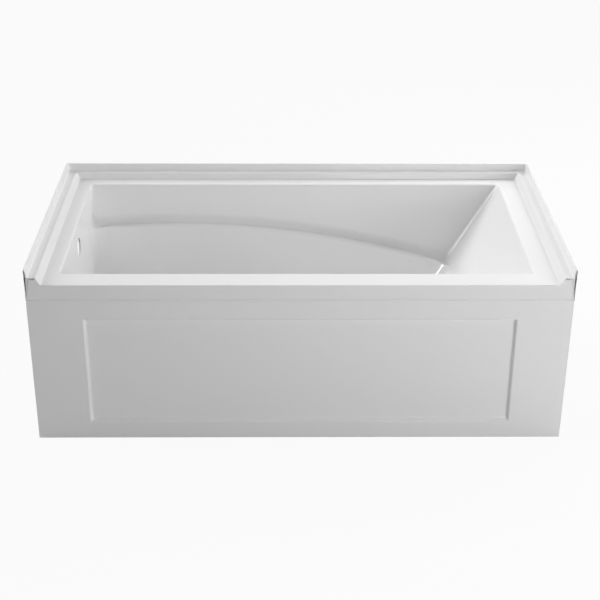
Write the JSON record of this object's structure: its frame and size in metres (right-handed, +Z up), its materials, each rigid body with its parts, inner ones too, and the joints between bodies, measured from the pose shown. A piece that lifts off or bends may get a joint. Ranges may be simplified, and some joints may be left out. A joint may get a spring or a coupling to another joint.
{
  "type": "alcove bathtub",
  "caption": "White alcove bathtub with a recessed-panel front apron, tile flange on its other sides, arched armrests, a sloped backrest and levelling feet.",
  "frame": {"origin": "on the floor, under the middle of the bath's overall length and width", "axes": "+X from the drain end to the backrest end, +Y from the apron to the back wall, +Z up"},
  "size_m": [1.524, 0.813, 0.546],
  "materials": {
    "acrylic": "gloss",
    "board": "raw chipboard",
    "plywood": "raw plywood",
    "timber": "sawn softwood",
    "galvanised_sheet": "galvanised",
    "zinc_plated_steel": "zinc plated",
    "nylon": "moulded"
  },
  "bodies": {
    "bath": {"apron_kick_rail": "timber", "apron_panel": "acrylic", "apron_rib_left": "plywood", "apron_rib_middle": "plywood", "apron_rib_right": "plywood", "apron_stile_left": "plywood", "apron_stile_right": "plywood", "apron_tie_left": "galvanised_sheet", "apron_tie_right": "galvanised_sheet", "bath_shell": "acrylic", "batten_back": "timber", "batten_backrest_end": "timber", "batten_drain_end": "timber", "batten_front": "timber", "bearer_backrest_end": "galvanised_sheet", "bearer_drain_end": "galvanised_sheet", "bearer_screws": "zinc_plated_steel", "bottom_board": "board", "foot_lock_nuts": "zinc_plated_steel", "foot_weld_nuts": "zinc_plated_steel", "tie_bolts": "zinc_plated_steel", "tie_screws": "zinc_plated_steel"},
    "foot_pad_1": {"foot_pad_1": "nylon"},
    "foot_stud_1": {"foot_stud_1": "zinc_plated_steel"},
    "foot_pad_2": {"foot_pad_2": "nylon"},
    "foot_stud_2": {"foot_stud_2": "zinc_plated_steel"},
    "foot_pad_3": {"foot_pad_3": "nylon"},
    "foot_stud_3": {"foot_stud_3": "zinc_plated_steel"},
    "foot_pad_4": {"foot_pad_4": "nylon"},
    "foot_stud_4": {"foot_stud_4": "zinc_plated_steel"}
  },
  "joints": [
    {"name": "foot_lift_1", "type": "slide", "parent": "bath", "child": "foot_pad_1", "axis": [0, 0, 1], "range_m": [-0.02, 0.006]},
    {"name": "stud_turn_1", "type": "hinge", "parent": "foot_pad_1", "child": "foot_stud_1", "pos_m": [-0.45, -0.288, 0.05], "axis": [0, 0, 1], "range_deg": [-4800, 1440]},
    {"name": "foot_lift_2", "type": "slide", "parent": "bath", "child": "foot_pad_2", "axis": [0, 0, 1], "range_m": [-0.02, 0.006]},
    {"name": "stud_turn_2", "type": "hinge", "parent": "foot_pad_2", "child": "foot_stud_2", "pos_m": [-0.45, 0.292, 0.05], "axis": [0, 0, 1], "range_deg": [-4800, 1440]},
    {"name": "foot_lift_3", "type": "slide", "parent": "bath", "child": "foot_pad_3", "axis": [0, 0, 1], "range_m": [-0.02, 0.006]},
    {"name": "stud_turn_3", "type": "hinge", "parent": "foot_pad_3", "child": "foot_stud_3", "pos_m": [0.23, -0.288, 0.05], "axis": [0, 0, 1], "range_deg": [-4800, 1440]},
    {"name": "foot_lift_4", "type": "slide", "parent": "bath", "child": "foot_pad_4", "axis": [0, 0, 1], "range_m": [-0.02, 0.006]},
    {"name": "stud_turn_4", "type": "hinge", "parent": "foot_pad_4", "child": "foot_stud_4", "pos_m": [0.23, 0.292, 0.05], "axis": [0, 0, 1], "range_deg": [-4800, 1440]}
  ],
  "couplings": [
    {"joint": "stud_turn_1", "follows": "foot_lift_1", "rad_per_m": 4188.8},
    {"joint": "stud_turn_2", "follows": "foot_lift_2", "rad_per_m": 4188.8},
    {"joint": "stud_turn_3", "follows": "foot_lift_3", "rad_per_m": 4188.8},
    {"joint": "stud_turn_4", "follows": "foot_lift_4", "rad_per_m": 4188.8}
  ]
}
